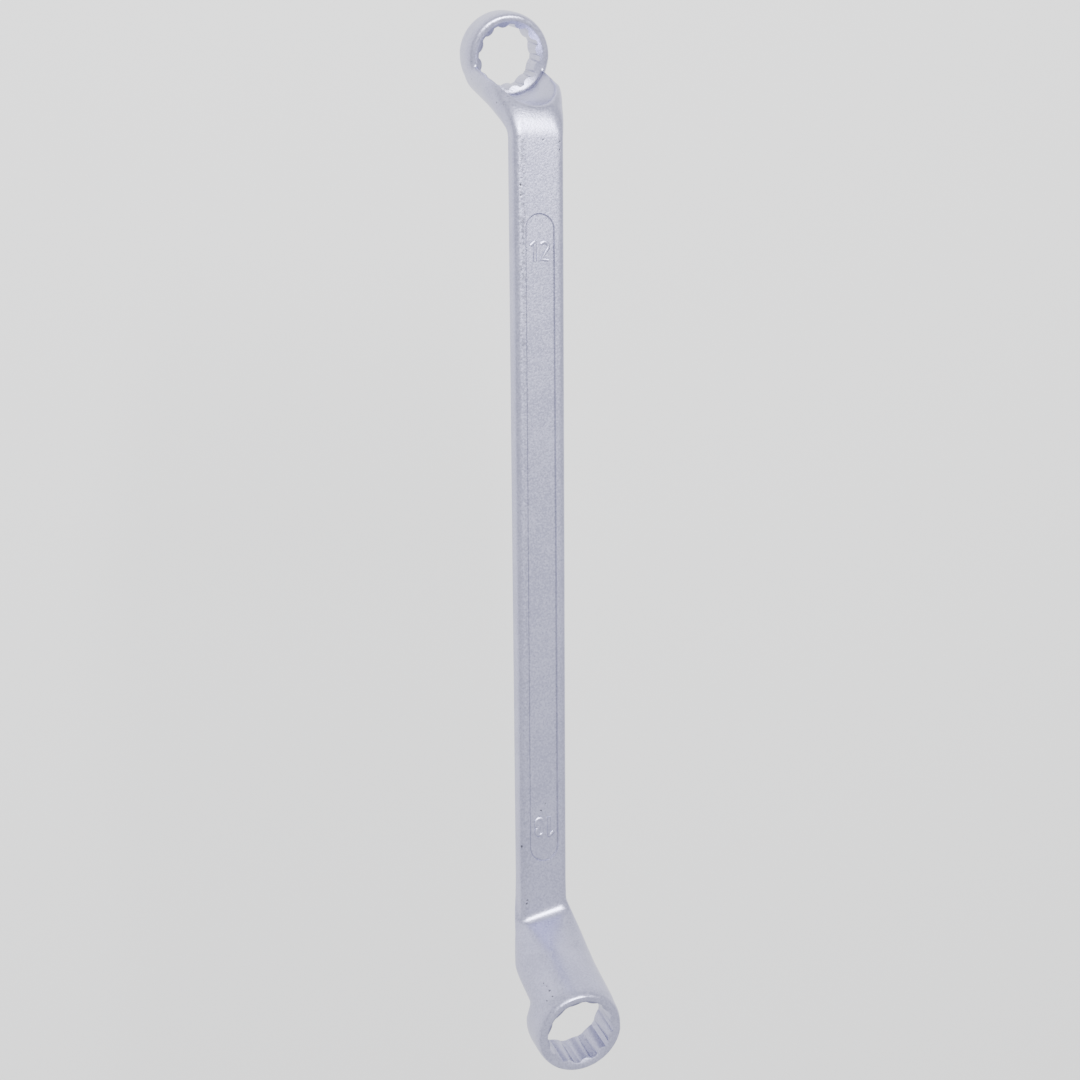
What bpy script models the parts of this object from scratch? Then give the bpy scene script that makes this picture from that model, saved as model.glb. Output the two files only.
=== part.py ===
"""Deep offset ring spanner, 12 by 13 mm, drop forged in one piece.

The shank lies along X with its broad faces square to Z. The 12 mm ring is at -X and below the
shank, the 13 mm ring is at +X and above it, and a cranked neck joins each ring to the shank, so
that the whole makes an S. Both bores lean by the same angle, which lets a ring sit flat on its
nut while the shank clears the hand. Metres, with the origin at the middle of the spanner.
"""

from collections import namedtuple
from math import asin, cos, pi, radians, sin, sqrt, tan

import bmesh
import bpy
from mathutils import Matrix, Vector

MM = 0.001

# Whole spanner
OVERALL_LENGTH = 230 * MM
OVERALL_HEIGHT = 52 * MM
RING_TILT = radians(15)

# Shank: a flat bar with rounded edges
SHANK_WIDTH = 11.1 * MM
SHANK_THICKNESS = 5.7 * MM
SHANK_CORNER_RADIUS = 1.5 * MM

# Necks: each leaves the shank on one arc, climbs straight, and turns into its ring on another
NECK_ANGLE = radians(57)
BEND_RADIUS = 15 * MM
RETURN_RADIUS = 5 * MM
RETURN_TO_BORE_AXIS = 0.5 * MM
NECK_THICKNESS = 6 * MM
NECK_CORNER_RADIUS = 2.3 * MM
WIDENING_LEAD = 5 * MM
NECK_INSET = 0.4 * MM

# Rings: a barrel-shaped wall round the bore, with a flat land on each face
ACROSS_FLATS_12 = 12.1 * MM
ACROSS_FLATS_13 = 13.1 * MM
RING_HEIGHT_12 = 8.8 * MM
RING_HEIGHT_13 = 9.3 * MM
RING_WALL = 2.6 * MM
EDGE_ROUND_HEIGHT = 2.4 * MM
LAND_WIDTH = 0.6 * MM
COUNTERSINK_MARGIN = 0.35 * MM
COUNTERSINK_ANGLE = radians(45)

# Twelve point bore: flat pockets for the corners of a nut, and rounded teeth between them
POINTS = 12
POCKET_WIDTH = 1.1 * MM
POCKET_BACK_OFF = 0.1 * MM
TOOTH_BACK_OFF = 0.08 * MM
POINT_TURN_12 = radians(0)
POINT_TURN_13 = radians(0)

# Relief behind each bore, which hollows the foot of the neck so that a long bolt can pass
RELIEF_HEIGHT = 13 * MM
RELIEF_MARGIN = 3 * MM
RELIEF_HEADROOM = 9 * MM

# Name panel, sunk into both broad faces of the shank
PANEL_LENGTH = 139 * MM
PANEL_WIDTH = 6.5 * MM
PANEL_DEPTH = 0.35 * MM

# How far a cutter runs past what it cuts, and how near two points may be before they are one
OVERRUN = 1 * MM
STEP_PAST_FACE = 0.1 * MM
WELD_DISTANCE = 0.01 * MM
FLAT_ANGLE = radians(0.1)

# Facets
CORNER_STEPS = 6
LEAD_STEPS = 2
BEND_STEPS = 8
CLIMB_STEPS = 3
RETURN_STEPS = 6
RING_STEPS = 72
EDGE_STEPS = 5
TOOTH_STEPS = 5
RELIEF_STEPS = 9
PANEL_END_STEPS = 12

# Chrome plate, blasted to a satin
PLATE_COLOUR = (0.60, 0.60, 0.66, 1.0)
PLATE_METALLIC = 1.0
PLATE_ROUGHNESS = 0.38
SMOOTH_ANGLE = radians(35)

# side is +1 for the ring at +X and above the shank, and -1 for the ring at -X and below it
Head = namedtuple("Head", "name side across_flats ring_height point_turn")
HEADS = (
    Head("12", -1, ACROSS_FLATS_12, RING_HEIGHT_12, POINT_TURN_12),
    Head("13", 1, ACROSS_FLATS_13, RING_HEIGHT_13, POINT_TURN_13),
)

# A cross-section of the shank or a neck, square to its path at a point in X and Z
Section = namedtuple("Section", "x z angle width thickness corner")


# Sizes that follow from the ones above

def pocket_radius(head):
    """Radius of the pockets' flat floors, just inside the corners of two crossed hexagons."""
    return head.across_flats / 2 / cos(pi / 6) - POCKET_BACK_OFF


def tooth_radius(head):
    """Radius to the tips of the teeth, just outside the points where the two hexagons cross."""
    return head.across_flats / 2 / cos(pi / POINTS) + TOOTH_BACK_OFF


def ring_radius(head):
    return pocket_radius(head) + RING_WALL


def countersink_radius(head):
    return pocket_radius(head) + COUNTERSINK_MARGIN


def land_radius(head):
    return countersink_radius(head) + LAND_WIDTH


def reach(head, angle):
    """How far a ring reaches from its centre in a direction at this angle to its own plane."""
    land = land_radius(head)
    straight = head.ring_height / 2 - EDGE_ROUND_HEIGHT
    across = (ring_radius(head) - land) * cos(angle)
    along = EDGE_ROUND_HEIGHT * sin(angle)
    return land * cos(angle) + straight * sin(angle) + sqrt(across**2 + along**2)


def ring_centre(head):
    """X and Z of the ring's centre, with which both rings together fill the overall sizes."""
    x = OVERALL_LENGTH / 2 - reach(head, RING_TILT)
    z = OVERALL_HEIGHT / 2 - reach(head, pi / 2 - RING_TILT)
    return x, z


def ring_placement(head):
    """Takes a ring modelled round Z, with its working face up, to its place on the spanner."""
    x, z = ring_centre(head)
    upper = Matrix.Translation(Vector((x, 0, z))) @ Matrix.Rotation(RING_TILT, 4, "Y")
    half_turn = Matrix.Rotation(0 if head.side > 0 else pi, 4, "Y")
    return half_turn @ upper


# Outlines

def arc(radius_x, radius_y, start, end, steps):
    """Points on an elliptical arc round the origin, both ends included."""
    angles = [start + (end - start) * i / steps for i in range(steps + 1)]
    return [(radius_x * cos(a), radius_y * sin(a)) for a in angles]


def moved(points, x, y):
    return [(px + x, py + y) for px, py in points]


def turned(points, angle):
    return [(x * cos(angle) - y * sin(angle), x * sin(angle) + y * cos(angle)) for x, y in points]


def rounded_rectangle(width, thickness, corner):
    """Section outline, counter-clockwise, with a quarter arc at each corner."""
    points = []
    for quarter, (side_y, side_z) in enumerate(((1, 1), (-1, 1), (-1, -1), (1, -1))):
        start = quarter * pi / 2
        bend = arc(corner, corner, start, start + pi / 2, CORNER_STEPS)
        centre_y = side_y * (width / 2 - corner)
        centre_z = side_z * (thickness / 2 - corner)
        points += moved(bend, centre_y, centre_z)
    return points


def twelve_point_outline(head):
    """Bore outline: between two pockets, one arc bulges inwards to make a tooth."""
    half_pitch = pi / POINTS
    floor = pocket_radius(head)
    tip = tooth_radius(head)
    foot_x = floor * cos(half_pitch) + POCKET_WIDTH / 2 * sin(half_pitch)
    foot_y = floor * sin(half_pitch) - POCKET_WIDTH / 2 * cos(half_pitch)
    rise = foot_x - tip
    tooth_arc = (foot_y**2 + rise**2) / (2 * rise)
    half_sweep = asin(foot_y / tooth_arc)
    tooth = arc(tooth_arc, tooth_arc, pi + half_sweep, pi - half_sweep, TOOTH_STEPS)
    tooth = moved(tooth, tip + tooth_arc, 0)
    outline = []
    for point in range(POINTS):
        outline += turned(tooth, head.point_turn + half_pitch * (2 * point + 1))
    return outline


def stadium(length, width, end_steps):
    """Slot outline with round ends, centred on the origin and long in X."""
    half = width / 2
    right = arc(half, half, -pi / 2, pi / 2, end_steps)
    left = arc(half, half, pi / 2, 3 * pi / 2, end_steps)
    return moved(right, length / 2 - half, 0) + moved(left, half - length / 2, 0)


def ring_profile(head):
    """Half section of a ring without its bore, from the working face down to the back face."""
    half = head.ring_height / 2
    land = land_radius(head)
    straight = half - EDGE_ROUND_HEIGHT
    upper = arc(ring_radius(head) - land, EDGE_ROUND_HEIGHT, pi / 2, 0, EDGE_STEPS)
    lower = arc(ring_radius(head) - land, EDGE_ROUND_HEIGHT, 0, -pi / 2, EDGE_STEPS)
    return [(0, half)] + moved(upper, land, straight) + moved(lower, land, -straight) + [(0, -half)]


def clearance_profile(head):
    """Half section of the cutter for both countersinks and, behind the ring, the relief."""
    half = head.ring_height / 2
    sink = countersink_radius(head)
    waist = tooth_radius(head) - OVERRUN
    sink_depth = (sink - waist) / tan(COUNTERSINK_ANGLE)
    front = [
        (0, half + OVERRUN),
        (sink + OVERRUN * tan(COUNTERSINK_ANGLE), half + OVERRUN),
        (waist, half - sink_depth),
    ]
    back = [
        (waist, sink_depth - half),
        (sink + STEP_PAST_FACE * tan(COUNTERSINK_ANGLE), -half - STEP_PAST_FACE),
    ]
    mouth, mouth_height = back[-1]
    widest = sink + RELIEF_MARGIN
    climb = RELIEF_HEIGHT - STEP_PAST_FACE
    relief_axis = climb / sqrt(1 - (mouth / widest) ** 2)
    start = asin(climb / relief_axis)
    bowl = moved(arc(widest, relief_axis, start, 0, RELIEF_STEPS), 0, mouth_height - climb)
    top = mouth_height - climb - RELIEF_HEADROOM
    return front + back + bowl[1:] + [(widest, top), (0, top)]


# Path of the shank and necks

def smooth_step(share):
    return share * share * (3 - 2 * share)


def blend(low, high, share):
    return low + (high - low) * share


def neck_path(head):
    """Points (x, z, angle, distance) from where the upper neck starts to widen into its ring."""
    centre_x, centre_z = ring_centre(head)
    end_x = centre_x - RETURN_TO_BORE_AXIS * cos(RING_TILT)
    end_z = centre_z + RETURN_TO_BORE_AXIS * sin(RING_TILT)
    bend_rise = BEND_RADIUS * (1 - cos(NECK_ANGLE))
    return_rise = RETURN_RADIUS * (cos(RING_TILT) - cos(NECK_ANGLE))
    climb = (end_z - bend_rise - return_rise) / sin(NECK_ANGLE)
    bend_run = BEND_RADIUS * sin(NECK_ANGLE)
    return_run = RETURN_RADIUS * (sin(NECK_ANGLE) + sin(RING_TILT))
    start_x = end_x - bend_run - climb * cos(NECK_ANGLE) - return_run
    path = []
    for i in range(LEAD_STEPS):
        distance = WIDENING_LEAD * i / LEAD_STEPS
        path.append((start_x - WIDENING_LEAD + distance, 0, 0, distance))
    for i in range(BEND_STEPS):
        angle = NECK_ANGLE * i / BEND_STEPS
        x = start_x + BEND_RADIUS * sin(angle)
        z = BEND_RADIUS * (1 - cos(angle))
        path.append((x, z, angle, WIDENING_LEAD + BEND_RADIUS * angle))
    climb_start = WIDENING_LEAD + BEND_RADIUS * NECK_ANGLE
    for i in range(CLIMB_STEPS):
        risen = climb * i / CLIMB_STEPS
        x = start_x + bend_run + risen * cos(NECK_ANGLE)
        z = bend_rise + risen * sin(NECK_ANGLE)
        path.append((x, z, NECK_ANGLE, climb_start + risen))
    turn_x = start_x + bend_run + climb * cos(NECK_ANGLE)
    turn_z = bend_rise + climb * sin(NECK_ANGLE)
    for i in range(RETURN_STEPS + 1):
        angle = blend(NECK_ANGLE, -RING_TILT, i / RETURN_STEPS)
        x = turn_x + RETURN_RADIUS * (sin(NECK_ANGLE) - sin(angle))
        z = turn_z + RETURN_RADIUS * (cos(angle) - cos(NECK_ANGLE))
        path.append((x, z, angle, climb_start + climb + RETURN_RADIUS * (NECK_ANGLE - angle)))
    return path


def neck_sections(head):
    """Sections from the shank into one ring, which widen and thicken as they go."""
    path = neck_path(head)
    whole = path[-1][-1]
    neck_width = 2 * (ring_radius(head) - NECK_INSET)
    sections = []
    for x, z, angle, distance in path:
        share = smooth_step(distance / whole)
        width = blend(SHANK_WIDTH, neck_width, share)
        thickness = blend(SHANK_THICKNESS, NECK_THICKNESS, share)
        corner = blend(SHANK_CORNER_RADIUS, NECK_CORNER_RADIUS, share)
        sections.append(Section(head.side * x, head.side * z, angle, width, thickness, corner))
    return sections


# Making solids

def new_collection(name):
    collection = bpy.data.collections.new(name)
    bpy.context.scene.collection.children.link(collection)
    return collection


def object_from_bmesh(name, shape, collection):
    mesh = bpy.data.meshes.new(name)
    shape.to_mesh(mesh)
    shape.free()
    made = bpy.data.objects.new(name, mesh)
    collection.objects.link(made)
    return made


def lofted_bar(name, sections, collection):
    """Bar skinned over the sections, which all have the same count of points."""
    shape = bmesh.new()
    rings = []
    for section in sections:
        outline = rounded_rectangle(section.width, section.thickness, section.corner)
        square_to_path = Matrix.Rotation(-section.angle, 4, "Y")
        place = Matrix.Translation(Vector((section.x, 0, section.z))) @ square_to_path
        rings.append([shape.verts.new(place @ Vector((0, y, z))) for y, z in outline])
    for near, far in zip(rings, rings[1:]):
        for i in range(len(near)):
            shape.faces.new((near[i - 1], near[i], far[i], far[i - 1]))
    shape.faces.new(rings[0][::-1])
    shape.faces.new(rings[-1])
    bmesh.ops.recalc_face_normals(shape, faces=shape.faces)
    return object_from_bmesh(name, shape, collection)


def turned_solid(name, profile, placement, collection):
    """Solid of revolution round Z, from points (radius, height) that run from top to bottom."""
    shape = bmesh.new()
    points = [shape.verts.new((radius, 0, height)) for radius, height in profile]
    for start, end in zip(points, points[1:]):
        shape.edges.new((start, end))
    made = object_from_bmesh(name, shape, collection)
    screw = made.modifiers.new("Turn", "SCREW")
    screw.steps = RING_STEPS
    screw.render_steps = RING_STEPS
    screw.use_merge_vertices = True
    screw.merge_threshold = WELD_DISTANCE
    flatten = made.modifiers.new("One face for each flat end", "DECIMATE")
    flatten.decimate_type = "DISSOLVE"
    flatten.angle_limit = FLAT_ANGLE
    made.matrix_world = placement
    return made


def flat_solid(name, outline, thickness, placement, collection):
    """Plate with the given outline, half its thickness to each side of its own XY plane."""
    curve = bpy.data.curves.new(name, "CURVE")
    curve.dimensions = "2D"
    curve.fill_mode = "BOTH"
    curve.extrude = thickness / 2
    spline = curve.splines.new("POLY")
    spline.points.add(len(outline) - 1)
    for point, (x, y) in zip(spline.points, outline):
        point.co = (x, y, 0, 1)
    spline.use_cyclic_u = True
    drawn = bpy.data.objects.new(f"{name}_outline", curve)
    collection.objects.link(drawn)
    bpy.context.view_layer.update()
    evaluated = drawn.evaluated_get(bpy.context.evaluated_depsgraph_get())
    shape = bmesh.new()
    shape.from_mesh(bpy.data.meshes.new_from_object(evaluated))
    bmesh.ops.remove_doubles(shape, verts=shape.verts, dist=WELD_DISTANCE)
    bmesh.ops.recalc_face_normals(shape, faces=shape.faces)
    bpy.data.objects.remove(drawn)
    made = object_from_bmesh(name, shape, collection)
    made.matrix_world = placement
    return made


def shape_with(target, operation, tool):
    """Joins the tool to the target or cuts the target with it, and hides the tool."""
    modifier = target.modifiers.new(tool.name, "BOOLEAN")
    modifier.operation = operation
    modifier.object = tool
    modifier.solver = "EXACT"
    tool.hide_render = True
    tool.display_type = "WIRE"


def satin_chrome():
    material = bpy.data.materials.new("satin_chrome")
    material.use_nodes = True
    shader = material.node_tree.nodes["Principled BSDF"]
    shader.inputs["Base Color"].default_value = PLATE_COLOUR
    shader.inputs["Metallic"].default_value = PLATE_METALLIC
    shader.inputs["Roughness"].default_value = PLATE_ROUGHNESS
    return material


# The spanner

for old in list(bpy.data.objects):
    bpy.data.objects.remove(old)

parts = new_collection("ring_spanner")
tools = new_collection("shaping_tools")

small_head, large_head = HEADS
sections = neck_sections(small_head)[::-1] + neck_sections(large_head)
spanner = lofted_bar("spanner_forging", sections, parts)

for head in HEADS:
    ring = turned_solid(f"ring_{head.name}", ring_profile(head), ring_placement(head), tools)
    shape_with(spanner, "UNION", ring)

for head in HEADS:
    placement = ring_placement(head)
    bore = turned_solid(f"bore_{head.name}", clearance_profile(head), placement, tools)
    depth = head.ring_height + 2 * OVERRUN
    points = flat_solid(f"points_{head.name}", twelve_point_outline(head), depth, placement, tools)
    shape_with(bore, "UNION", points)
    shape_with(spanner, "DIFFERENCE", bore)

panel_outline = stadium(PANEL_LENGTH, PANEL_WIDTH, PANEL_END_STEPS)
panel_lift = SHANK_THICKNESS / 2 - PANEL_DEPTH + (PANEL_DEPTH + OVERRUN) / 2
for face, side in (("upper", 1), ("lower", -1)):
    placement = Matrix.Translation(Vector((0, 0, side * panel_lift)))
    panel = flat_solid(f"panel_{face}", panel_outline, PANEL_DEPTH + OVERRUN, placement, tools)
    shape_with(spanner, "DIFFERENCE", panel)

spanner.data.materials.append(satin_chrome())
spanner.data.shade_smooth()
spanner.data.set_sharp_from_angle(angle=SMOOTH_ANGLE)
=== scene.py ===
from collections import namedtuple
from math import asin, cos, pi, radians, sin, sqrt, tan

import bmesh
import bpy
from mathutils import Matrix, Vector


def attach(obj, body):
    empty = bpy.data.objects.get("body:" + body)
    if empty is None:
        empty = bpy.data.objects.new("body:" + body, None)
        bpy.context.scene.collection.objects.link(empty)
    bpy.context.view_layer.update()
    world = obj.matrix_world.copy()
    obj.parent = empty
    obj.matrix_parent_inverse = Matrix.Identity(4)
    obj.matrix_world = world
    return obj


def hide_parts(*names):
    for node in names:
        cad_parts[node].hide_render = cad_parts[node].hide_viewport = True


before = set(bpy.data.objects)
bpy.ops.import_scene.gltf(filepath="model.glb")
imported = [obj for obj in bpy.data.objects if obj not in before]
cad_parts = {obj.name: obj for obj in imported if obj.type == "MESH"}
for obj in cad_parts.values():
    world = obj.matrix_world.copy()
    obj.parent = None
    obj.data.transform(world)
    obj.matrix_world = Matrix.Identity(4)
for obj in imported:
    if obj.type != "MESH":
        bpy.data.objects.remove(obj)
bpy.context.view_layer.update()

# The bar. One length of chrome vanadium steel, drop forged to a flat shank with rounded edges. At
# each end it bends away from the shank and climbs, wider and deeper, into the wall of its ring. The
# side towards the working face swells to a half round; the other side bends on a wide arc.

MM = 0.001
OVERALL_LENGTH = 230 * MM
OVERALL_HEIGHT = 52 * MM
RING_TILT = radians(15)
SHANK_THICKNESS = 5.2 * MM
SHANK_CORNER = 1.6 * MM
CREASE_RADIUS = 2.5 * MM
RIM_STEP = 1.6 * MM
BEND_CORNER = 3.2 * MM
BEND_BREADTH = 5.6 * MM
RING_CORNER = 2.4 * MM
CORNER_LIMIT = 0.48
WIDENING_LEAD = 2.3 * MM
WIDENED_SHARE = 0.53
EASED_SHARE = 0.1
DOMING_POWER = 0.7
SLANT_SHARE = 0.5
SQUARE_ON = 0.999
STATIONS = 60
CORNER_FACETS = 14

# side is +1 for the ring above the shank at +X, and -1 for the one below it at -X
Head = namedtuple("Head", "name side across_flats corner_room ring_height ring_wall shank_width "
                  "neck_angle bend_radius neck_inset end_to_axis sink_room face_sink_angle "
                  "crease_slant")
SMALL = Head("12", -1, 12.1 * MM, 0.22 * MM, 8.5 * MM, 2.54 * MM, 11.8 * MM,
             radians(64.8), 14.3 * MM, 0.8 * MM, 1.2 * MM, 0.8 * MM, radians(35), 0)
LARGE = Head("13", 1, 13.1 * MM, -0.07 * MM, 9.1 * MM, 2.08 * MM, 10.95 * MM,
             radians(64.4), 20.8 * MM, 0.85 * MM, 0.9 * MM, 0.4 * MM, radians(57), 0.3)
HEADS = (SMALL, LARGE)

POINTS = 12
TOOTH_BACK_OFF = 0.2 * MM
LAND_TO_POCKET = 1.4 * MM
EDGE_ROUND_HEIGHT = 2.9 * MM


def pocket_radius(head):
    return head.across_flats / 2 / cos(pi / 6) + head.corner_room


def tooth_radius(head):
    return head.across_flats / 2 / cos(pi / POINTS) + TOOTH_BACK_OFF


def ring_radius(head):
    return pocket_radius(head) + head.ring_wall


def countersink_radius(head):
    return pocket_radius(head) + head.sink_room


def land_radius(head):
    return pocket_radius(head) + LAND_TO_POCKET


def reach(head, angle):
    """How far a ring reaches from its centre in a direction at this angle to its own plane."""
    across = (ring_radius(head) - land_radius(head)) * cos(angle)
    along = EDGE_ROUND_HEIGHT * sin(angle)
    straight = head.ring_height / 2 - EDGE_ROUND_HEIGHT
    return land_radius(head) * cos(angle) + straight * sin(angle) + sqrt(across**2 + along**2)


def ring_centre(head):
    x = OVERALL_LENGTH / 2 - reach(head, RING_TILT)
    z = OVERALL_HEIGHT / 2 - reach(head, pi / 2 - RING_TILT)
    return x, z


def ring_placement(head):
    """Takes a ring made round Z, with its working face up, to its place on the spanner."""
    x, z = ring_centre(head)
    upper = Matrix.Translation(Vector((x, 0, z))) @ Matrix.Rotation(RING_TILT, 4, "Y")
    return Matrix.Rotation(0 if head.side > 0 else pi, 4, "Y") @ upper


def between(low, high, share):
    return low + (high - low) * share


def eased(share):
    """Sets off from nothing without a kink, and runs on straight to 1."""
    if share < EASED_SHARE:
        return share**2 / (EASED_SHARE * (2 - EASED_SHARE))
    return (2 * share - EASED_SHARE) / (2 - EASED_SHARE)


def on_ring(head, radius, height):
    """A point on the shank's side of the upper ring, at this height over its middle plane."""
    x, z = ring_centre(head)
    return (x - radius * cos(RING_TILT) + height * sin(RING_TILT),
            z + radius * sin(RING_TILT) + height * cos(RING_TILT))


def on_face(head, level, bend_radius, meeting, share):
    """A point on one face of the neck, which leaves the shank's on an arc and runs straight."""
    x, z = meeting
    angle = head.neck_angle
    start = x - (z - level) / tan(angle) - bend_radius * tan(angle / 2)
    straight = (z - level - bend_radius * (1 - cos(angle))) / sin(angle)
    distance = share * (bend_radius * angle + straight)
    turn = min(distance / bend_radius, angle)
    further = max(0, distance - bend_radius * angle)
    return (start + bend_radius * sin(turn) + further * cos(angle),
            level + bend_radius * (1 - cos(turn)) + further * sin(angle))


def quarter_arc(radius_y, radius_z, start):
    angles = [start + pi / 2 * i / CORNER_FACETS for i in range(CORNER_FACETS + 1)]
    return [(radius_y * cos(a), radius_z * sin(a)) for a in angles]


def bar_outline(head, outer, inner, width, corner, breadth, roundness, slant):
    """The bar's outline between points on its outer and inner faces.

    roundness swells the outer side from a flat with small corners to a half round, and slant
    lets that side run ahead on its right and lag on its left.
    """
    across, rise = outer[0] - inner[0], outer[1] - inner[1]
    thickness = sqrt(across**2 + rise**2)
    middle_x, middle_z = (outer[0] + inner[0]) / 2, (outer[1] + inner[1]) / 2
    loop = []
    for quarter, (side_y, side_z) in enumerate(((1, 1), (-1, 1), (-1, -1), (1, -1))):
        round_y, round_z = breadth, corner
        if side_z > 0:
            round_y = between(corner, width / 2, roundness)
            round_z = between(corner, thickness - corner, roundness)
        for y, z in quarter_arc(round_y, round_z, quarter * pi / 2):
            up = (z + side_z * (thickness / 2 - round_z)) / thickness
            y += side_y * (width / 2 - round_y)
            aslant = -slant * y if side_z > 0 else 0
            loop.append(Vector((head.side * (middle_x + up * across + aslant), y,
                                head.side * (middle_z + up * rise))))
    return loop


def neck_outlines(head):
    """Outlines of the bar from the end of the shank to the middle of the ring."""
    outer_end = on_ring(head, ring_radius(head), head.ring_height / 2 - RIM_STEP)
    inner_end = on_ring(head, head.end_to_axis, 0)
    widest = 2 * (ring_radius(head) - head.neck_inset)
    outlines = []
    for i in range(-1, STATIONS + 1):
        share = max(i, 0) / STATIONS
        outer = on_face(head, SHANK_THICKNESS / 2, CREASE_RADIUS, outer_end, share)
        inner = on_face(head, -SHANK_THICKNESS / 2, head.bend_radius, inner_end, share)
        if i < 0:
            upright = min(outer[0], inner[0]) - WIDENING_LEAD
            outer, inner = (upright, outer[1]), (upright, inner[1])
        widened = eased(min(1, share / WIDENED_SHARE))
        width = between(head.shank_width, widest, widened)
        if widened < 0.5:
            corner = between(SHANK_CORNER, BEND_CORNER, eased(2 * widened))
            breadth = between(SHANK_CORNER, BEND_BREADTH, eased(2 * widened))
        else:
            corner = between(BEND_CORNER, RING_CORNER, eased(2 * widened - 1))
            breadth = between(BEND_BREADTH, RING_CORNER, eased(2 * widened - 1))
        thickness = sqrt((outer[0] - inner[0])**2 + (outer[1] - inner[1])**2)
        corner = min(corner, CORNER_LIMIT * thickness)
        slant = 0 if i < 0 else head.crease_slant * max(0, 1 - share / SLANT_SHARE)
        outlines.append(bar_outline(head, outer, inner, width, corner, breadth,
                                    widened**DOMING_POWER, slant))
    return outlines


def take(piece):
    """Selects one piece and nothing else."""
    bpy.ops.object.select_all(action="DESELECT")
    piece.select_set(True)
    bpy.context.view_layer.objects.active = piece


def shape(piece, kind, wanted):
    """Opens the piece for shaping, with just those of its faces or edges that are wanted."""
    take(piece)
    bpy.ops.object.mode_set(mode="EDIT")
    bpy.ops.mesh.select_mode(type=kind)
    bpy.ops.mesh.select_all(action="DESELECT")
    inside = bmesh.from_edit_mesh(piece.data)
    for element in inside.faces if kind == "FACE" else inside.edges:
        if wanted(element):
            element.select_set(True)
    bmesh.update_edit_mesh(piece.data)


def done():
    bpy.ops.object.mode_set(mode="OBJECT")


def finish_with(piece, kind, **settings):
    """Gives the piece one modifier with these settings, and applies it."""
    take(piece)
    modifier = piece.modifiers.new(kind, kind)
    for name, value in settings.items():
        setattr(modifier, name, value)
    bpy.ops.object.modifier_apply(modifier=modifier.name)


def work(piece, operation, tool, solver="EXACT"):
    """Joins the tool to the piece or cuts the piece with it, and takes the tool away."""
    finish_with(piece, "BOOLEAN", operation=operation, object=tool, solver=solver)
    bpy.data.objects.remove(tool)


necks = {head: neck_outlines(head) for head in HEADS}
shank_start = max(point.x for point in necks[SMALL][0])
shank_end = min(point.x for point in necks[LARGE][0])
middle_width = (SMALL.shank_width + LARGE.shank_width) / 2
bpy.ops.object.select_all(action="DESELECT")
bpy.ops.mesh.primitive_cube_add(
    size=1, location=((shank_start + shank_end) / 2, 0, 0),
    scale=(shank_end - shank_start, middle_width, SHANK_THICKNESS))
spanner = bpy.context.object
spanner.name = "forged_spanner"
bpy.ops.object.transform_apply()


def runs_lengthways(edge):
    along = edge.verts[1].co - edge.verts[0].co
    return abs(along.x) > middle_width


shape(spanner, "EDGE", runs_lengthways)
bpy.ops.mesh.bevel(offset=SHANK_CORNER, segments=CORNER_FACETS, affect="EDGES")
done()


def lay_on(piece, expected, outline):
    """Puts each selected vertex on the outline, at the place of the expected point it is at."""
    inside = bmesh.from_edit_mesh(piece.data)
    for vertex in inside.verts:
        if vertex.select:
            gaps = [(point - vertex.co).length for point in expected]
            vertex.co = outline[gaps.index(min(gaps))]
    bmesh.update_edit_mesh(piece.data)


for head in HEADS:
    outlines = necks[head]
    shape(spanner, "FACE", lambda face: face.normal.x * head.side > SQUARE_ON)
    wider = head.shank_width / middle_width
    bpy.ops.transform.resize(value=(1, wider, 1), center_override=(0, 0, 0))
    lay_on(spanner, outlines[0], outlines[0])
    for here, there in zip(outlines, outlines[1:]):
        bpy.ops.mesh.extrude_region_move()
        lay_on(spanner, here, there)
    done()

# The rings. Each is forged with its neck as one barrel-shaped eye, with a flat land on both faces
# and a wall of even thickness all round.

RING_FACETS = 144
EDGE_STATIONS = 8


def turned(name, profile, place):
    """A round solid: a disc is drawn out along its axis and widened or narrowed at each step."""
    radius, height = profile[0]
    bpy.ops.object.select_all(action="DESELECT")
    bpy.ops.mesh.primitive_circle_add(
        vertices=RING_FACETS, radius=radius, fill_type="NGON", location=(0, 0, height))
    piece = bpy.context.object
    piece.name = name
    bpy.ops.object.transform_apply()
    shape(piece, "FACE", lambda face: True)
    for wider, further in profile[1:]:
        bpy.ops.mesh.extrude_region_move(
            TRANSFORM_OT_translate={"value": (0, 0, further - height)})
        ratio = wider / radius
        bpy.ops.transform.resize(value=(ratio, ratio, ratio), center_override=(0, 0, further))
        radius, height = wider, further
    bpy.ops.mesh.select_all(action="SELECT")
    bpy.ops.mesh.normals_make_consistent(inside=False)
    done()
    piece.matrix_world = place
    take(piece)
    bpy.ops.object.transform_apply()
    return piece


def barrel_profile(head):
    """Half section of the ring without its bore, from the back face up to the working face."""
    half = head.ring_height / 2
    straight = half - EDGE_ROUND_HEIGHT
    across = ring_radius(head) - land_radius(head)
    lower = []
    for i in range(EDGE_STATIONS + 1):
        angle = pi / 2 * i / EDGE_STATIONS
        lower.append((land_radius(head) + across * sin(angle),
                      -straight - EDGE_ROUND_HEIGHT * cos(angle)))
    return lower + [(radius, -height) for radius, height in reversed(lower)]


for head in HEADS:
    ring = turned(f"ring_{head.name}", barrel_profile(head), ring_placement(head))
    work(spanner, "UNION", ring)

# The countersinks and the relief. Both faces of each ring are countersunk, which leads it over the
# corners of the nut. Behind the ring the foot of the neck is hollowed for the end of a long bolt.

BACK_SINK_ANGLE = radians(57)
CORE_UNDERSIZE = 0.5 * MM
OVERRUN = 1 * MM
STEP_PAST_FACE = 0.1 * MM
RELIEF_HEIGHT = 13 * MM
RELIEF_MARGIN = 0.2 * MM
RELIEF_HEADROOM = 9 * MM
RELIEF_STATIONS = 16


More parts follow.
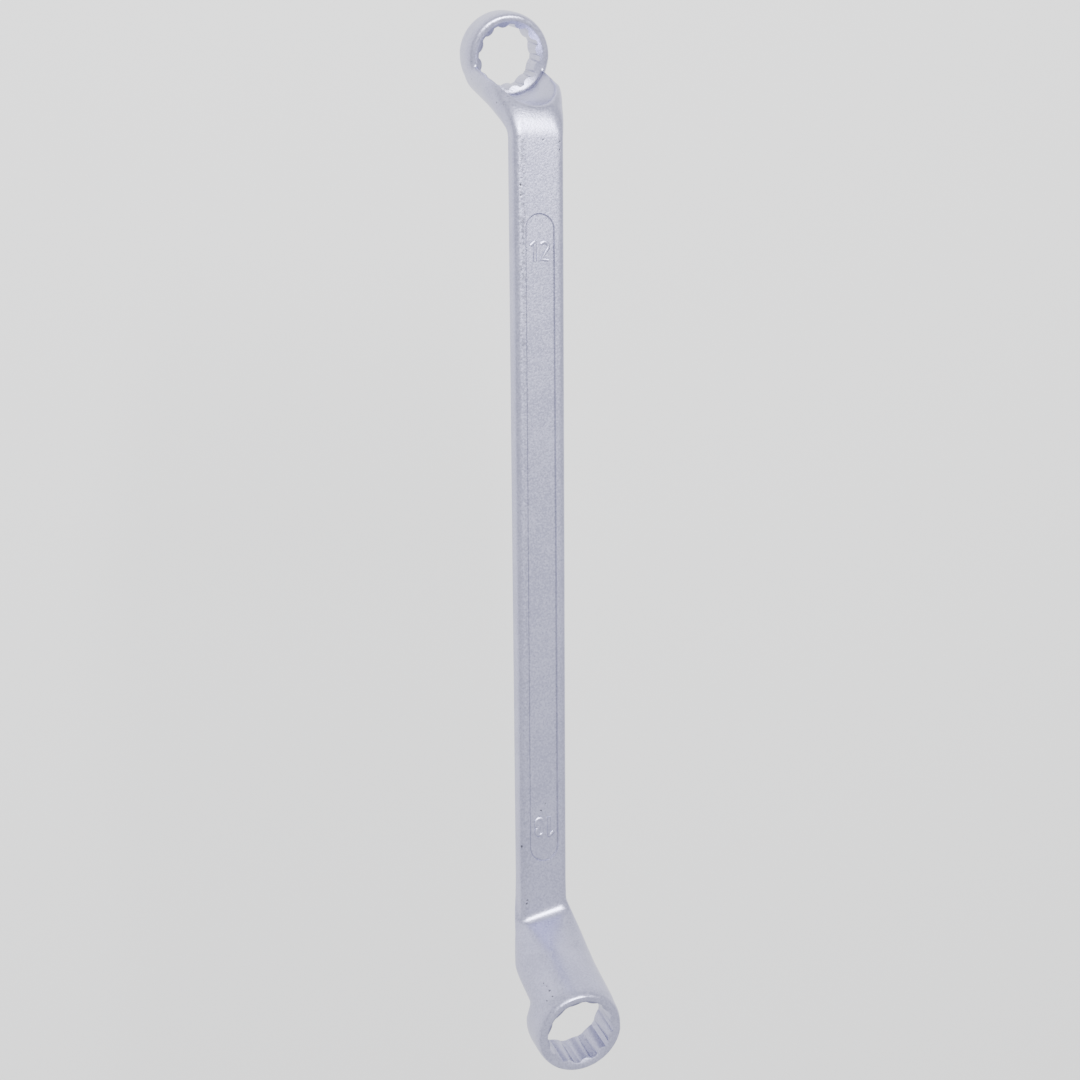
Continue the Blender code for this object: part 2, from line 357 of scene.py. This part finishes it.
def clearance_profile(head):
    """Half section of what is cut away, from behind the ring to in front of its working face."""
    half = head.ring_height / 2
    sink = countersink_radius(head)
    waist = tooth_radius(head) - CORE_UNDERSIZE
    face_slope, back_slope = tan(head.face_sink_angle), tan(BACK_SINK_ANGLE)
    face_depth, back_depth = (sink - waist) / face_slope, (sink - waist) / back_slope
    mouth = sink + STEP_PAST_FACE * back_slope
    widest = sink + RELIEF_MARGIN
    climb = RELIEF_HEIGHT - STEP_PAST_FACE
    axis = climb / sqrt(1 - (mouth / widest)**2)
    bowl_foot = -half - STEP_PAST_FACE
    bowl = []
    for i in range(RELIEF_STATIONS + 1):
        angle = asin(climb / axis) * i / RELIEF_STATIONS
        bowl.append((widest * cos(angle), bowl_foot - climb + axis * sin(angle)))
    return ([(widest, bowl_foot - climb - RELIEF_HEADROOM)] + bowl + [
        (waist, back_depth - half), (waist, half - face_depth),
        (sink + OVERRUN * face_slope, half + OVERRUN)])


for head in HEADS:
    clearance = turned(f"clearance_{head.name}", clearance_profile(head), ring_placement(head))
    work(spanner, "DIFFERENCE", clearance)

# The forged skin. The dies leave a soft round where the neck runs into the ring and along every
# edge, so the blank is made one even skin and eased, most of all round the foot of each ring.

SKIN_GRAIN = 0.28 * MM
EASY_ROUNDS = 5
SOFT_ROUNDS = 60
SOFT_REACH = 5 * MM
RELIEF_SOFT_REACH = 3 * MM
RELIEF_SOFT_BELOW = 11 * MM
SHANK_CLEAR = 3 * MM
FLAT_LIMIT = radians(1.5)

finish_with(spanner, "REMESH", mode="VOXEL", voxel_size=SKIN_GRAIN, adaptivity=0)

into_ring = {head: ring_placement(head).inverted() for head in HEADS}


def softness(point):
    """1 where neck and ring meet and where the relief runs out on the neck, and 0 elsewhere."""
    head = SMALL if point.x < 0 else LARGE
    local = into_ring[head] @ point
    radius = sqrt(local.x**2 + local.y**2)
    if local.x > 0:
        return 0
    if local.z < -RELIEF_SOFT_BELOW and radius < ring_radius(head):
        off_relief = abs(radius - countersink_radius(head) - RELIEF_MARGIN)
        return max(0, 1 - off_relief / RELIEF_SOFT_REACH)
    if radius < land_radius(head):
        return 0
    return max(0, 1 - abs(radius - ring_radius(head)) / SOFT_REACH)


soft = spanner.vertex_groups.new(name="foot_of_ring")
for vertex in spanner.data.vertices:
    weight = softness(vertex.co)
    if weight > 0:
        soft.add([vertex.index], weight, "REPLACE")
finish_with(spanner, "SMOOTH", factor=0.5, iterations=SOFT_ROUNDS, vertex_group=soft.name)
finish_with(spanner, "SMOOTH", factor=0.5, iterations=EASY_ROUNDS)

shape(spanner, "FACE", lambda face: shank_start + SHANK_CLEAR < face.calc_center_median().x
      < shank_end - SHANK_CLEAR)
bpy.ops.mesh.dissolve_limited(angle_limit=FLAT_LIMIT)
done()

# The bores. Each is broached to twelve points: narrow flat pockets for the corners of the nut, and
# between them smooth rounded teeth, which press on its sides and not on its corners.

POCKET_WIDTH = 1.1 * MM
POCKET_FACETS = 288
TOOTH_FACETS = 96


def round_bar(name, radius, length, middle, facets):
    bpy.ops.object.select_all(action="DESELECT")
    bpy.ops.mesh.primitive_cylinder_add(
        vertices=facets, radius=radius, depth=length, location=middle,
        rotation=(0, 0, pi / facets))
    bar = bpy.context.object
    bar.name = name
    bpy.ops.object.transform_apply()
    return bar


for head in HEADS:
    half_pitch = pi / POINTS
    floor = pocket_radius(head)
    tip = tooth_radius(head)
    foot_x = floor * cos(half_pitch) + POCKET_WIDTH / 2 * sin(half_pitch)
    foot_y = floor * sin(half_pitch) - POCKET_WIDTH / 2 * cos(half_pitch)
    rise = foot_x - tip
    tooth_arc = (foot_y**2 + rise**2) / (2 * rise)
    depth = head.ring_height + 2 * OVERRUN
    broach = round_bar(f"broach_{head.name}", floor, depth, (0, 0, 0), POCKET_FACETS)
    for point in range(POINTS):
        angle = half_pitch * (2 * point + 1)
        middle = ((tip + tooth_arc) * cos(angle), (tip + tooth_arc) * sin(angle), 0)
        gap = round_bar("gap", tooth_arc, depth + OVERRUN, middle, TOOTH_FACETS)
        work(broach, "DIFFERENCE", gap)
    broach.matrix_world = ring_placement(head)
    take(broach)
    bpy.ops.object.transform_apply()
    work(spanner, "DIFFERENCE", broach)

# The name panels. A long recess with round ends is sunk into both broad faces of the shank by the
# dies, with walls that slope for the draught.

PANEL_LENGTH = 141.9 * MM
PANEL_WIDTH = 6.75 * MM
PANEL_MIDDLE = (2.86 * MM, -0.05 * MM)
PANEL_DEPTH = 0.35 * MM
PANEL_DRAUGHT = 0.25 * MM
PANEL_END_FACETS = 64

for side in (1, -1):
    spread = PANEL_LENGTH - PANEL_WIDTH
    floor_height = SHANK_THICKNESS / 2 - PANEL_DEPTH
    radius = PANEL_WIDTH / 2 - PANEL_DRAUGHT
    centre_x, centre_y = PANEL_MIDDLE[0], side * PANEL_MIDDLE[1]
    panel = round_bar("panel", radius, PANEL_DEPTH,
                      (centre_x, centre_y, floor_height + PANEL_DEPTH / 2), PANEL_END_FACETS)
    shape(panel, "FACE", lambda face: face.normal.z > SQUARE_ON)
    top = floor_height + PANEL_DEPTH
    wider = (PANEL_WIDTH / 2) / radius
    bpy.ops.transform.resize(value=(wider, wider, wider), center_override=(centre_x, centre_y, top))
    bpy.ops.mesh.extrude_region_move(TRANSFORM_OT_translate={"value": (0, 0, OVERRUN)})
    done()
    for end in (1, -1):
        shape(panel, "EDGE", lambda edge: all((v.co.x - centre_x) * end > 0 for v in edge.verts))
        bpy.ops.transform.translate(value=(end * spread / 2, 0, 0))
        done()
    panel.matrix_world = Matrix.Rotation(0 if side > 0 else pi, 4, "X")
    take(panel)
    bpy.ops.object.transform_apply()
    work(spanner, "DIFFERENCE", panel)

# The finish. Nickel and chrome over a blasted surface: satin, faintly blue, with a fine grain. It
# is pitted in places, specked along one edge, with painted shade there and in the panel's corners.

PLATE_DULL = (0.37, 0.37, 0.515, 1)
PLATE_BRIGHT = (0.46, 0.46, 0.615, 1)
# The dark of broken plate in the pits, also used for the painted shade
PLATE_BROKEN_AND_SHADE = (0.06, 0.06, 0.07, 1)
NOISE_TURN = (0.6, 0.4, 0.9)
SMUDGE_SCALE = 140
GRAIN_SCALE = 2400
GRAIN_DEPTH = 0.06 * MM
GRAIN_STRENGTH = 0.5
SPECK_SCALE = 1500
SPECK_LINE = -4.1 * MM
SMOOTH_ANGLE = radians(35)

# Pits where the plating has broken: the place of each and its radius, in millimetres
PITS = (
    (-83.7, 0.85, 2.6, 0.3), (-83.4, 4.6, 2.5, 0.25), (-81.7, 4.6, 2.5, 0.22),
    (-98.95, -8.9, -16.4, 0.25), (-92.0, -7.6, -3.5, 0.22), (-91.3, -6.8, -1.3, 0.2),
    (-73.8, -4.5, 2.6, 0.3), (-71.7, -4.5, 2.6, 0.26), (61.0, 0.4, 2.3, 0.26),
    (62.5, -0.6, 2.3, 0.26), (70.2, -5.2, 1.9, 0.35), (96.1, -6.5, 18.4, 0.22),
    (96.4, -6.3, 19.6, 0.2), (96.9, -6.1, 21.0, 0.3), (97.7, -6.1, 22.6, 0.24),
    (83.0, -4.3, 2.5, 0.32), (82.3, -4.1, 2.6, 0.28), (98.6, -7.2, 22.1, 0.2),
)

chrome = bpy.data.materials.new("satin_chrome_plate")
chrome.use_nodes = True
nodes = chrome.node_tree.nodes
links = chrome.node_tree.links
shader = nodes["Principled BSDF"]
shader.inputs["Metallic"].default_value = 1.0
place = nodes.new("ShaderNodeTexCoord")

# Noise repeats along its own axes, so these are turned away from the shank's
turned_place = nodes.new("ShaderNodeMapping")
turned_place.inputs["Rotation"].default_value = NOISE_TURN
links.new(place.outputs["Object"], turned_place.inputs["Vector"])


def noise(scale, detail):
    node = nodes.new("ShaderNodeTexNoise")
    node.inputs["Scale"].default_value = scale
    node.inputs["Detail"].default_value = detail
    links.new(turned_place.outputs["Vector"], node.inputs["Vector"])
    return node


def ranged(source, low, high, new_low, new_high):
    node = nodes.new("ShaderNodeMapRange")
    node.inputs["From Min"].default_value = low
    node.inputs["From Max"].default_value = high
    node.inputs["To Min"].default_value = new_low
    node.inputs["To Max"].default_value = new_high
    links.new(source, node.inputs["Value"])
    return node.outputs["Result"]


def combined(operation, first, second):
    node = nodes.new("ShaderNodeMath")
    node.operation = operation
    for socket, value in zip(node.inputs, (first, second)):
        if isinstance(value, float):
            socket.default_value = value
        else:
            links.new(value, socket)
    return node.outputs[0]


smudge = noise(SMUDGE_SCALE, 4)
grain = noise(GRAIN_SCALE, 4)
tint = nodes.new("ShaderNodeMix")
tint.data_type = "RGBA"
tint.inputs["A"].default_value = PLATE_DULL
tint.inputs["B"].default_value = PLATE_BRIGHT
links.new(combined("ADD", ranged(smudge.outputs["Fac"], 0.35, 0.65, 0, 0.6),
                   ranged(grain.outputs["Fac"], 0.35, 0.65, -0.5, 0.9)), tint.inputs["Factor"])

sound = None
for x, y, z, radius in PITS:
    apart = nodes.new("ShaderNodeVectorMath")
    apart.operation = "DISTANCE"
    links.new(place.outputs["Object"], apart.inputs[0])
    apart.inputs[1].default_value = (x * MM, y * MM, z * MM)
    unevenness = ranged(grain.outputs["Fac"], 0.3, 0.7, -0.12 * MM, 0.12 * MM)
    ragged = combined("ADD", apart.outputs["Value"], unevenness)
    clear_of_pit = ranged(ragged, 0.5 * radius * MM, 1.15 * radius * MM, 0, 1)
    sound = clear_of_pit if sound is None else combined("MINIMUM", sound, clear_of_pit)

# Fine dark specks along the left edge of the shank's front, over a faint painted shade of that
# rounded edge, strongest towards the 12 end
parts = nodes.new("ShaderNodeSeparateXYZ")
links.new(place.outputs["Object"], parts.inputs["Vector"])
off_line = combined("ABSOLUTE", combined("SUBTRACT", parts.outputs["Y"], SPECK_LINE), 0.0)
band = ranged(off_line, 0.4 * MM, 1.3 * MM, 1, 0)
upper_half = ranged(parts.outputs["X"], -60 * MM, -20 * MM, 1, 0.25)
front = ranged(parts.outputs["Z"], 1.6 * MM, 2.1 * MM, 0, 1)
speck = noise(SPECK_SCALE, 6)
dots = ranged(speck.outputs["Fac"], 0.48, 0.62, 0.08, 0.6)
specks_and_edge_shade = combined("MULTIPLY", combined("MULTIPLY", band, upper_half),
                  combined("MULTIPLY", front, dots))

# Painted shade in the corner round the panel, along its wall, broken up by the speck noise
past_middle = combined("ABSOLUTE", combined("SUBTRACT", parts.outputs["X"], PANEL_MIDDLE[0]), 0.0)
past_straight = combined("SUBTRACT", past_middle, (PANEL_LENGTH - PANEL_WIDTH) / 2)
round_end = nodes.new("ShaderNodeCombineXYZ")
links.new(combined("MAXIMUM", past_straight, 0.0), round_end.inputs["X"])
links.new(combined("SUBTRACT", parts.outputs["Y"], PANEL_MIDDLE[1]), round_end.inputs["Y"])
from_centre = nodes.new("ShaderNodeVectorMath")
from_centre.operation = "LENGTH"
links.new(round_end.outputs["Vector"], from_centre.inputs[0])
off_wall = combined("ABSOLUTE", combined("SUBTRACT", from_centre.outputs["Value"],
                                         PANEL_WIDTH / 2 - PANEL_DRAUGHT), 0.0)
panel_corner_shade = combined("MULTIPLY", ranged(off_wall, 0.05 * MM, 0.22 * MM, 0.3, 0),
                 ranged(speck.outputs["Fac"], 0.38, 0.6, 0.45, 1))
# Specks, painted edge shade and painted shade in the panel's corner, all darkening the plate
specks_and_painted_shade = combined("ADD", specks_and_edge_shade, combined("MULTIPLY", panel_corner_shade, front))
clear_plate_share = combined("SUBTRACT", ranged(sound, 0, 1, 0.18, 1), specks_and_painted_shade)

# Mixes the plate towards the dark of the pits and of the painted shade
worn_and_shaded = nodes.new("ShaderNodeMix")
worn_and_shaded.data_type = "RGBA"
worn_and_shaded.inputs["A"].default_value = PLATE_BROKEN_AND_SHADE
links.new(tint.outputs["Result"], worn_and_shaded.inputs["B"])
links.new(clear_plate_share, worn_and_shaded.inputs["Factor"])
links.new(worn_and_shaded.outputs["Result"], shader.inputs["Base Color"])
links.new(ranged(grain.outputs["Fac"], 0.3, 0.7, 0.27, 0.38), shader.inputs["Roughness"])
bump = nodes.new("ShaderNodeBump")
bump.inputs["Strength"].default_value = GRAIN_STRENGTH
bump.inputs["Distance"].default_value = GRAIN_DEPTH
links.new(combined("ADD", grain.outputs["Fac"], ranged(sound, 0, 1, -1, 0)), bump.inputs["Height"])
links.new(bump.outputs["Normal"], shader.inputs["Normal"])

spanner.data.materials.clear()
spanner.data.materials.append(chrome)
take(spanner)
bpy.ops.object.shade_smooth_by_angle(angle=SMOOTH_ANGLE)
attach(spanner, "root")
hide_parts("spanner_forging")

# The size marks. Plain raised numbers at the ends of the front panel, forged with the shank. Each
# figure is one round stroke, half sunk in the panel's floor.

MARK_STROKE = 0.85 * MM
MARK_RAISED = 0.24 * MM
ARC_FACETS = 16


def stroke_arc(x, y, radius, start, end):
    angles = [radians(between(start, end, i / ARC_FACETS)) for i in range(ARC_FACETS + 1)]
    return [(x + radius * cos(a), y + radius * sin(a)) for a in angles]


# The line of each figure, in millimetres from the middle of the number
ONE = [(-2.1, 1.2), (-1.25, 2.05), (-1.05, 2.0), (-1.05, -2.2)]
TWO = stroke_arc(1.15, 1.1, 0.9, 150, -25) + [(0.3, -1.75), (2.0, -1.8)]
THREE = stroke_arc(1.05, 0.95, 0.85, 150, -80) + stroke_arc(1.05, -0.9, 1.0, 80, -150)

for name, strokes, at_x, at_y, turn in (
        ("12", (ONE, TWO), -59.9 * MM, -0.1 * MM, 90),
        ("13", (ONE, THREE), 66.2 * MM, 0.1 * MM, -90)):
    data = bpy.data.curves.new(f"size_mark_{name}", "CURVE")
    data.dimensions = "3D"
    data.bevel_depth = MARK_STROKE / 2
    data.bevel_resolution = 4
    data.use_fill_caps = True
    for stroke in strokes:
        spline = data.splines.new("POLY")
        spline.points.add(len(stroke) - 1)
        for point, (x, y) in zip(spline.points, stroke):
            point.co = (x * MM, y * MM, 0, 1)
    mark = bpy.data.objects.new(f"size_mark_{name}", data)
    bpy.context.scene.collection.objects.link(mark)
    take(mark)
    bpy.ops.object.convert(target="MESH")
    mark.scale.z = MARK_RAISED / (MARK_STROKE / 2)
    bpy.ops.object.transform_apply()
    mark.matrix_world = (Matrix.Translation(Vector((at_x, at_y, SHANK_THICKNESS / 2 - PANEL_DEPTH)))
                         @ Matrix.Rotation(radians(turn), 4, "Z"))
    bpy.ops.object.transform_apply()
    mark.data.materials.append(chrome)
    bpy.ops.object.shade_smooth_by_angle(angle=SMOOTH_ANGLE)
    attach(mark, "root")

# The studio. A white paper floor far enough below to catch no shadow, an even white sky, and two
# soft boxes, one beyond the 12 ring and a weak one to its left.

FLOOR_SIZE = 6
FLOOR_DROP = 150 * MM
PAPER_WHITE = (0.68, 0.68, 0.68, 1)
SKY_COLOUR = (0.98, 0.99, 1.0, 1)
SKY_STRENGTH = 1.3

bpy.ops.object.select_all(action="DESELECT")
bpy.ops.mesh.primitive_plane_add(
    size=FLOOR_SIZE, location=(0, 0, -OVERALL_HEIGHT / 2 - FLOOR_DROP))
studio_floor = bpy.context.object
studio_floor.name = "studio_floor"
paper = bpy.data.materials.new("white_paper")
paper.use_nodes = True
paper_inputs = paper.node_tree.nodes["Principled BSDF"].inputs
paper_inputs["Base Color"].default_value = PAPER_WHITE
paper_inputs["Roughness"].default_value = 1.0
studio_floor.data.materials.append(paper)

world = bpy.context.scene.world or bpy.data.worlds.new("studio")
bpy.context.scene.world = world
world.use_nodes = True
sky_inputs = world.node_tree.nodes["Background"].inputs
sky_inputs["Color"].default_value = SKY_COLOUR
sky_inputs["Strength"].default_value = SKY_STRENGTH


def soft_box(name, place, size, watts):
    data = bpy.data.lights.new(name, "AREA")
    data.shape = "RECTANGLE"
    data.size, data.size_y = size
    data.energy = watts
    lamp = bpy.data.objects.new(name, data)
    bpy.context.scene.collection.objects.link(lamp)
    lamp.location = place
    lamp.rotation_mode = "QUATERNION"
    lamp.rotation_quaternion = Vector(place).to_track_quat("Z", "Y")


soft_box("upper_box", (-0.58, 0.03, 0.89), (0.66, 0.44), 24)
soft_box("left_box", (-0.70, -0.42, 0.66), (0.45, 0.4), 3)

# The camera, at the photograph's viewing angle and distance.

CAMERA_TURN = (-2.1284, 4.8834, 20.7118)
CAMERA_DISTANCE = 423.0673 * MM
PIXELS_PER_MM = 4.5579
AIM = (538.2682, 527.4612)
FRAME_PIXELS = 1080
SENSOR = 36

roll, pitch, yaw = (radians(a) for a in CAMERA_TURN)
look = (Matrix.Rotation(roll, 3, "Z") @ Matrix.Rotation(-yaw, 3, "Y")
        @ Matrix.Rotation(pitch, 3, "X") @ Matrix(((0, 1, 0), (1, 0, 0), (0, 0, -1))))
offset = [(a - FRAME_PIXELS / 2) / PIXELS_PER_MM * MM for a in AIM]
away = Vector((offset[0], offset[1], CAMERA_DISTANCE))
data = bpy.data.cameras.new("camera")
data.sensor_width = SENSOR
data.lens = PIXELS_PER_MM / MM * CAMERA_DISTANCE * SENSOR / FRAME_PIXELS
data.clip_start = 0.01
camera = bpy.data.objects.new("camera", data)
bpy.context.scene.collection.objects.link(camera)
rows = [look[0], -look[1], -look[2]]
camera.matrix_world = (Matrix.Translation(-(look.transposed() @ away))
                       @ Matrix(rows).transposed().to_4x4())
bpy.context.scene.camera = camera
